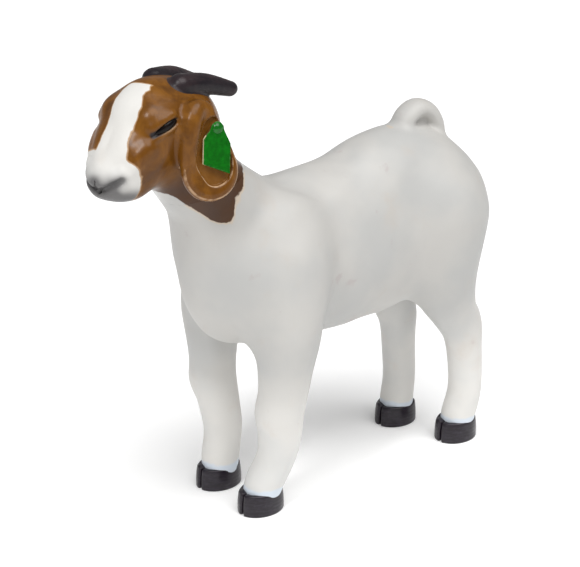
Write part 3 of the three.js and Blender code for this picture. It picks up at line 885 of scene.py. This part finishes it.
def add(tree, kind, inputs=None, **settings):
    node = tree.nodes.new(kind)
    for key, value in settings.items():
        setattr(node, key, value)
    for key, value in (inputs or {}).items():
        socket = node.inputs[key]
        if isinstance(value, bpy.types.NodeSocket):
            tree.links.new(value, socket)
        else:
            socket.default_value = value
    return node


class Paint:
    """A principled material with helpers for layers of paint."""

    def __init__(self, name, roughness, coat=0.0, coat_roughness=0.1, ior=1.5):
        self.material = bpy.data.materials.new(name)
        self.material.use_nodes = True
        self.tree = self.material.node_tree
        self.shader = self.tree.nodes["Principled BSDF"]
        self.shader.inputs["Roughness"].default_value = roughness
        self.shader.inputs["Coat Weight"].default_value = coat
        self.shader.inputs["Coat Roughness"].default_value = coat_roughness
        self.shader.inputs["IOR"].default_value = ior
        self.place = add(self.tree, "ShaderNodeTexCoord").outputs["Object"]

    def noise(self, size, detail=3.0, roughness=0.5, distortion=0.0, stretch=(1, 1, 1)):
        """Noise whose features are about that many millimetres across."""
        scaled = add(self.tree, "ShaderNodeMapping", {"Vector": self.place, "Scale": stretch})
        made = add(self.tree, "ShaderNodeTexNoise", {
            "Vector": scaled.outputs[0], "Scale": 1 / (size * MM), "Detail": detail, "Roughness": roughness,
            "Distortion": distortion})
        return made.outputs["Fac"]

    def attribute(self, name):
        return add(self.tree, "ShaderNodeAttribute", attribute_name=name).outputs["Fac"]

    def maths(self, operation, a, b=0.0):
        node = add(self.tree, "ShaderNodeMath", {0: a, 1: b}, operation=operation)
        return node.outputs[0]

    def ramp(self, value, low, high, to_low=0.0, to_high=1.0):
        made = add(self.tree, "ShaderNodeMapRange", {
            "Value": value, "From Min": low, "From Max": high, "To Min": to_low, "To Max": to_high},
            interpolation_type="SMOOTHSTEP")
        return made.outputs[0]

    def mix(self, share, a, b, kind="MIX"):
        node = add(self.tree, "ShaderNodeMix", data_type="RGBA", blend_type=kind)
        for index, value in ((0, share), (6, a), (7, b)):
            if isinstance(value, bpy.types.NodeSocket):
                self.tree.links.new(value, node.inputs[index])
            elif index:
                node.inputs[index].default_value = (*value, 1)
            else:
                node.inputs[index].default_value = value
        return node.outputs[2]

    def bump(self, height, distance, strength=1.0, below=None):
        inputs = {"Height": height, "Distance": distance * MM, "Strength": strength}
        if below is not None:
            inputs["Normal"] = below
        return add(self.tree, "ShaderNodeBump", inputs).outputs[0]

    def finish(self, colour, roughness=None, normal=None):
        self.tree.links.new(colour, self.shader.inputs["Base Color"])
        if roughness is not None:
            self.tree.links.new(roughness, self.shader.inputs["Roughness"])
        if normal is not None:
            self.tree.links.new(normal, self.shader.inputs["Normal"])
        return self.material


WHITE = (0.655, 0.640, 0.610)
WHITE_COOL = (0.590, 0.588, 0.572)
WHITE_WARM = (0.620, 0.580, 0.532)
PINK = (0.53, 0.445, 0.440)
WHITE_TONES = (WHITE, WHITE_COOL, WHITE_WARM, PINK)
# The trunk's white is painted darker and the lower legs' white lighter: painted shade on the trunk, painted light
# from the floor on the legs.
PAINTED_TRUNK_SHADE = 0.77
PAINTED_LEG_LIGHT = 1.10
SHADE_PAINTED_WHITES = [[PAINTED_TRUNK_SHADE * part for part in tone] for tone in WHITE_TONES]
LIGHT_PAINTED_WHITES = [[PAINTED_LEG_LIGHT * part for part in tone] for tone in WHITE_TONES]
PAINTED_SHADE_ABOVE = 55
PAINTED_LIGHT_BELOW = 15
YELLOW_STAIN = (0.54, 0.47, 0.33)
BROWN = (0.125, 0.045, 0.004)
BROWN_LIGHT = (0.190, 0.074, 0.008)
BROWN_DARK = (0.065, 0.024, 0.005)
NECK_BROWN = (0.062, 0.027, 0.012)
GREY_AND_SHADE = (0.055, 0.052, 0.055)
INK = (0.018, 0.015, 0.016)
HOOF_BAND = (0.62, 0.70, 0.80)
NECK_HALO = (0.60, 0.47, 0.33)
BLAZE_HALO = (0.50, 0.33, 0.19)
LID_TAN = (0.56, 0.40, 0.25)
EAR_FLOOR_TAN = (0.25, 0.11, 0.022)
EAR_RIM_TAN = (0.62, 0.42, 0.26)
EAR_EDGE_TAN = (0.52, 0.34, 0.20)
HORN_TONES = ((0.012, 0.009, 0.012), (0.034, 0.020, 0.022))
HORN_RUB = (0.055, 0.045, 0.050)
HOOF_TONES = ((0.012, 0.008, 0.013), (0.022, 0.017, 0.026))
HOOF_RUB = (0.075, 0.070, 0.085)
TAG_TONES = ((0.001, 0.085, 0.002), (0.002, 0.135, 0.004))
TAG_EDGE_BROWN = (0.10, 0.035, 0.015)
TAG_EDGE_CREAM = (0.72, 0.62, 0.42)
TAG_RUB = (0.18, 0.42, 0.16)
STUD_TONES = ((0.001, 0.095, 0.003), (0.002, 0.140, 0.005))
EYE_TONES = ((0.003, 0.002, 0.002), (0.008, 0.005, 0.004))
PAPER_TONES = ((0.94, 0.94, 0.94), (0.955, 0.955, 0.955))


def white_layer(paint_box, tones=WHITE_TONES):
    """Off-white paint with cool and warm clouds, faint pink smudges and a few small stains."""
    plain, cool, warm, pink = tones
    colour = paint_box.mix(paint_box.ramp(paint_box.noise(26, 3), 0.38, 0.66), plain, cool)
    colour = paint_box.mix(paint_box.ramp(paint_box.noise(15, 4, 0.6), 0.56, 0.74, 0, 0.55), colour, warm)
    colour = paint_box.mix(paint_box.ramp(paint_box.noise(9, 4, 0.6), 0.66, 0.76, 0, 0.40), colour, pink)
    stains = paint_box.ramp(paint_box.noise(5.2, 2, 0.5), 0.765, 0.80, 0, 0.5)
    return paint_box.mix(stains, colour, YELLOW_STAIN)


def brown_layer(paint_box):
    """Brushed brown paint, mottled between a lighter and a darker tone."""
    streaks = paint_box.ramp(paint_box.noise(5.5, 5, 0.62, 0.8, (1, 1, 0.6)), 0.36, 0.68)
    colour = paint_box.mix(streaks, BROWN, BROWN_LIGHT)
    dark = paint_box.ramp(paint_box.noise(9, 4, 0.6, 0.4), 0.50, 0.72, 0, 0.7)
    return paint_box.mix(dark, colour, BROWN_DARK)


def moulded_bump(paint_box):
    """Slow unevenness of the cast surface under a fine tooth of paint."""
    slow = paint_box.bump(paint_box.noise(9, 2), 0.5, 0.4)
    return paint_box.bump(paint_box.noise(0.9, 4, 0.6), 0.06, 0.35, slow)


def brushed_bump(paint_box):
    """Upright brush strokes over the moulded surface."""
    strokes = paint_box.noise(1.6, 5, 0.65, 0.6, (1, 1, 0.35))
    return paint_box.bump(strokes, 0.10, 0.35, moulded_bump(paint_box))


def neck_layer(paint_box):
    """The darker, duller brown of the neck."""
    return paint_box.mix(paint_box.ramp(paint_box.noise(7, 5, 0.6, 0.5), 0.35, 0.7), NECK_BROWN, BROWN_DARK)


def wandering(paint_box, name, size, width):
    """A painted distance whose zero line wanders, by up to half the width, over about that many millimetres."""
    wobble = paint_box.maths("SUBTRACT", paint_box.noise(size, 3), 0.5)
    return paint_box.maths("ADD", paint_box.attribute(name), paint_box.maths("MULTIPLY", wobble, width))


def matt_roughness(paint_box):
    return paint_box.ramp(paint_box.noise(18, 3), 0.3, 0.7, 0.42, 0.54)


def body_material():
    box = Paint("painted_body", 0.48, 0.0, 0.1, 1.42)
    # Painted light: the white grows lighter towards the hooves, standing in for light thrown up from the floor.
    painted_floor_light = box.ramp(box.attribute("ankle"), PAINTED_SHADE_ABOVE, PAINTED_LIGHT_BELOW)
    white = box.mix(painted_floor_light, white_layer(box, SHADE_PAINTED_WHITES), white_layer(box, LIGHT_PAINTED_WHITES))
    near_hoof = box.maths("ADD", box.attribute("ankle"), box.maths("MULTIPLY", box.noise(3.5, 2), -1.6))
    white = box.mix(box.ramp(near_hoof, 1.4, 0.2, 0, 0.75), white, HOOF_BAND)
    border = wandering(box, "coat", 4.5, 2.2)
    halo = box.mix(box.ramp(border, -0.75, -0.25, 0, 0.6), white, NECK_HALO)
    colour = box.mix(box.ramp(border, -0.16, 0.16), halo, neck_layer(box))
    return box.finish(colour, matt_roughness(box), moulded_bump(box))


def head_material():
    box = Paint("painted_head", 0.3, 0.12, 0.16, 1.26)
    white = white_layer(box)
    # Grey on the muzzle: partly airbrushed paint, partly painted shade under chin and lower lip and in the mouth
    # crease.
    white = box.mix(box.ramp(box.attribute("shade"), 0.02, 0.95, 0, 0.86), white, GREY_AND_SHADE)
    brown = brown_layer(box)
    depth = box.maths("ADD", box.attribute("nape"), box.maths("MULTIPLY", box.noise(8, 3), 5.0))
    brown = box.mix(box.ramp(depth, -1.0, 7.0), neck_layer(box), brown)
    border = wandering(box, "blaze", 3.2, 1.1)
    halo = box.mix(box.ramp(border, -0.6, -0.15, 0, 0.7), brown, BLAZE_HALO)
    colour = box.mix(box.ramp(border, -0.14, 0.14), halo, white)
    lid = box.mix(box.attribute("lid"), colour, LID_TAN)
    # The mouth line and lip cleft are dark paint; the dark round the eye is painted shade in its socket.
    dark = box.maths("MAXIMUM", box.attribute("ink"), box.attribute("socket"))
    ink_and_socket_shade = box.mix(dark, lid, INK)
    edge = wandering(box, "coat", 4.5, 2.2)
    # Below the coat the neck wears the trunk's darker white, which is painted shade.
    colour = box.mix(box.ramp(edge, -0.16, 0.16), white_layer(box, SHADE_PAINTED_WHITES), ink_and_socket_shade)
    return box.finish(colour, box.ramp(border, -0.2, 0.2, 0.30, 0.42), brushed_bump(box))


def ear_material():
    box = Paint("painted_ear", 0.28, 0.12, 0.16, 1.26)
    brown = brown_layer(box)
    floor = box.mix(box.ramp(box.noise(4, 4, 0.6), 0.35, 0.7), BROWN_LIGHT, EAR_FLOOR_TAN)
    brown = box.mix(box.ramp(box.attribute("floor"), -0.2, 0.5, 0, 0.7), brown, floor)
    wear = box.ramp(box.noise(2.2, 3), 0.30, 0.62)
    inner = box.ramp(box.attribute("rim"), 0.38, 0.12, 0, 0.85)
    brown = box.mix(box.maths("MULTIPLY", inner, wear), brown, EAR_RIM_TAN)
    outer = box.ramp(box.attribute("edge"), 0.45, 0.15, 0, 0.7)
    brown = box.mix(box.maths("MULTIPLY", outer, wear), brown, EAR_EDGE_TAN)
    return box.finish(brown, box.ramp(box.noise(6, 3), 0.3, 0.7, 0.24, 0.36), brushed_bump(box))


def tail_material():
    box = Paint("painted_tail", 0.48, 0.0, 0.1, 1.42)
    # The tail wears the trunk's darker white, which is painted shade.
    return box.finish(white_layer(box, SHADE_PAINTED_WHITES), matt_roughness(box), moulded_bump(box))


def horn_material():
    box = Paint("painted_horn", 0.38, 0.0, 0.3, 1.33)
    tint = box.ramp(box.noise(6, 4, 0.6, 0.7, (1, 0.4, 1)), 0.38, 0.66)
    colour = box.mix(tint, *HORN_TONES)
    rub = box.ramp(box.noise(3, 5, 0.7), 0.58, 0.75, 0, 0.5)
    colour = box.mix(rub, colour, HORN_RUB)
    grooves = box.bump(box.noise(1.5, 4, 0.6, 0.4, (1, 0.25, 1)), 0.14, 0.5, moulded_bump(box))
    return box.finish(colour, box.ramp(box.noise(7, 3), 0.3, 0.7, 0.30, 0.46), grooves)


def hoof_material():
    box = Paint("painted_hoof", 0.34, 0.1, 0.25, 1.4)
    streak = box.ramp(box.noise(2.6, 4, 0.6, 0.3, (1, 1, 4)), 0.40, 0.68)
    colour = box.mix(streak, *HOOF_TONES)
    worn = box.ramp(box.noise(1.8, 4, 0.7), 0.62, 0.78, 0, 0.6)
    colour = box.mix(worn, colour, HOOF_RUB)
    rings = box.bump(box.noise(1.1, 3, 0.6, 0.3, (0.5, 0.5, 2.5)), 0.06, 0.35, moulded_bump(box))
    return box.finish(colour, box.ramp(box.noise(4, 3), 0.3, 0.7, 0.28, 0.44), rings)


def tag_material():
    box = Paint("painted_tag", 0.38, 0.0, 0.3, 1.22)
    colour = box.mix(box.ramp(box.noise(1.6, 5, 0.7), 0.35, 0.7), *TAG_TONES)
    edge = box.ramp(box.attribute("side"), -0.1, 0.1)
    front = box.ramp(box.attribute("front_edge"), -0.1, 0.1)
    colour = box.mix(edge, colour, box.mix(front, TAG_EDGE_BROWN, TAG_EDGE_CREAM))
    near_edge = box.ramp(box.attribute("wear"), -0.45, -0.1)
    worn = box.maths("MULTIPLY", near_edge, box.ramp(box.noise(1.2, 3), 0.5, 0.7))
    colour = box.mix(box.maths("MULTIPLY", worn, 0.4), colour, TAG_RUB)
    return box.finish(colour, None, box.bump(box.noise(0.8, 4, 0.6), 0.07, 0.4))


def stud_material():
    box = Paint("painted_stud", 0.22, 0.0, 0.12, 1.42)
    colour = box.mix(box.ramp(box.noise(1.4, 4, 0.6), 0.35, 0.7), *STUD_TONES)
    return box.finish(colour, None, box.bump(box.noise(0.8, 3, 0.6), 0.05, 0.3))


def eye_material():
    box = Paint("glossy_eye", 0.16, 0.0, 0.03, 1.25)
    colour = box.mix(box.ramp(box.noise(2.5, 3), 0.4, 0.7), *EYE_TONES)
    return box.finish(colour, None, box.bump(box.noise(1.2, 2), 0.02, 0.2))


# ---------- the pieces ----------

NECK_POINT = (0, -38, 112.2)
NECK_RISE = 0.3
NECK_OVERCUT = 3.0
SEAM = 0.03
neck_up = np.array([0, -NECK_RISE, 1]) / math.hypot(1, NECK_RISE)


def above_neck(p):
    return (p - np.array(NECK_POINT)) @ neck_up


def body_field(p):
    return np.maximum(goat(p), above_neck(p) - NECK_OVERCUT)


def head_field(p):
    return np.maximum(goat(p), -above_neck(p) - NECK_OVERCUT)


FOOT_SOLE = 1.2


def footed(p):
    """The body with its feet cut flat inside the hooves."""
    return soft_max(body_field(p), FOOT_SOLE - p[..., 2], 0.4)


def piece(name, field, low, high, cell, material, slot, painter=None, cut=None, flip=False):
    """Skins a field into a named piece that stands for the CAD node of the same name."""
    points, faces = skin(field, low, high, cell)
    if flip:
        points = mirrored(points)
        faces = faces[:, ::-1]
    made = mesh_object(name, points, faces)
    if cut is not None:
        keep_side(made, *cut)
    if painter is not None:
        painter(made)
    made.data.materials.append(material)
    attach(made, "root")
    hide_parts(name.replace("goat_", ""))


hoof_paint = hoof_material()
piece("goat_body", footed, (-34, -56, -1.6), (34, 80, 122), 0.8, body_material(), "white_paint", paint_body,
      cut=(NECK_POINT - neck_up * SEAM / 2, neck_up))
piece("goat_head", head_field, (-20, -82, 96), (24, -14, 152), 0.42, head_material(), "brown_paint", paint_head,
      cut=(NECK_POINT + neck_up * SEAM / 2, -neck_up))
piece("goat_tail", rooted(tail, goat, 2.0), (-12, 36, 92), (12, 74, 130), 0.55, tail_material(), "white_paint")
horn_paint = horn_material()
ear_paint = ear_material()
eye_gloss = eye_material()
for side, flip in (("left", False), ("right", True)):
    piece(f"goat_horn_{side}", rooted(horn, goat, 1.0), (-4, -58, 138), (18, -22, 154), 0.36, horn_paint,
          "horn_paint", flip=flip)
    piece(f"goat_ear_{side}", rooted(ear, goat, 2.2), (4, -66, 104), (36, -24, 152), 0.38, ear_paint,
          "brown_paint", paint_ear(side), flip=flip)
    piece(f"goat_eye_{side}", eye, (6, -70, 128), (20, -48, 146), 0.25, eye_gloss, "eye_gloss", flip=flip)
piece("goat_ear_tag", tag_shape, (10, -60, 116), (36, -30, 144), 0.22, tag_material(), "tag_green", paint_tag)
piece("goat_ear_tag_stud", stud_shape, (10, -60, 126), (36, -30, 146), 0.16, stud_material(), "tag_green")
for name, joints in LEGS.items():
    x, y = joints[-1][:2]
    piece(f"goat_hoof_{name}", hoof_shape((x, y)), (x - 9, y - 11, -1), (x + 9, y + 10, 9.5), 0.3, hoof_paint,
          "hoof_paint")

# ---------- camera, floor and light ----------

LENS = 103.70
CAMERA_AZIMUTH = 51.647
CAMERA_ELEVATION = 20.645
CAMERA_DISTANCE = 0.55
AIM_HEIGHT = 0.07094
PAPER_GLOW = 0.16
WORLD_LIGHT = 0.27
KEY_LIGHT = 2.8
KEY_SIZE = (0.13, 0.30)
SKY_LIGHT = 2.5
SKY_WIDTH = 50


def towards(azimuth, elevation):
    """A unit vector from the goat; azimuth 0 is in front of it and 90 on its left."""
    a, e = math.radians(azimuth), math.radians(elevation)
    return np.array([math.sin(a) * math.cos(e), -math.cos(a) * math.cos(e), math.sin(e)])


def aim(thing, spot, target):
    way = Vector(target) - Vector(spot)
    thing.location = spot
    thing.rotation_euler = way.to_track_quat("-Z", "Y").to_euler()


scene = bpy.context.scene
target = np.array([0, SHIFT_Y * MM, AIM_HEIGHT])
camera = bpy.data.objects.new("camera", bpy.data.cameras.new("camera"))
camera.data.lens = LENS
camera.data.clip_start = 0.01
aim(camera, target + CAMERA_DISTANCE * towards(CAMERA_AZIMUTH, CAMERA_ELEVATION), target)
scene.collection.objects.link(camera)
scene.camera = camera

FLOOR_HALF = 6.0
floor_mesh = bpy.data.meshes.new("floor")
floor_mesh.from_pydata([(-FLOOR_HALF, -FLOOR_HALF, 0), (FLOOR_HALF, -FLOOR_HALF, 0), (FLOOR_HALF, FLOOR_HALF, 0),
                        (-FLOOR_HALF, FLOOR_HALF, 0)], [], [(0, 1, 2, 3)])
floor = bpy.data.objects.new("floor", floor_mesh)
scene.collection.objects.link(floor)
paper = Paint("pale_paper", 0.9)
paper.shader.inputs["Emission Color"].default_value = (1, 1, 1, 1)
paper.shader.inputs["Emission Strength"].default_value = PAPER_GLOW
floor_mesh.materials.append(paper.finish(paper.mix(paper.ramp(paper.noise(60, 2), 0.3, 0.7), *PAPER_TONES)))

world = bpy.data.worlds.new("studio")
world.use_nodes = True
world.node_tree.nodes["Background"].inputs["Color"].default_value = (1, 1, 1, 1)
world.node_tree.nodes["Background"].inputs["Strength"].default_value = WORLD_LIGHT
scene.world = world
scene.view_settings.view_transform = "Standard"


def light(name, kind, energy, azimuth, elevation, distance):
    """A light that looks at the goat; its data comes back for its size."""
    lamp = bpy.data.lights.new(name, kind)
    lamp.energy = energy
    made = bpy.data.objects.new(name, lamp)
    aim(made, target + distance * towards(azimuth, elevation), target)
    scene.collection.objects.link(made)
    return lamp


key = light("key", "AREA", KEY_LIGHT, 24, 48, 0.9)
key.shape = "RECTANGLE"
key.size, key.size_y = KEY_SIZE
sky = light("sky_light", "SUN", SKY_LIGHT, 95, 66, 1.0)
sky.angle = math.radians(SKY_WIDTH)
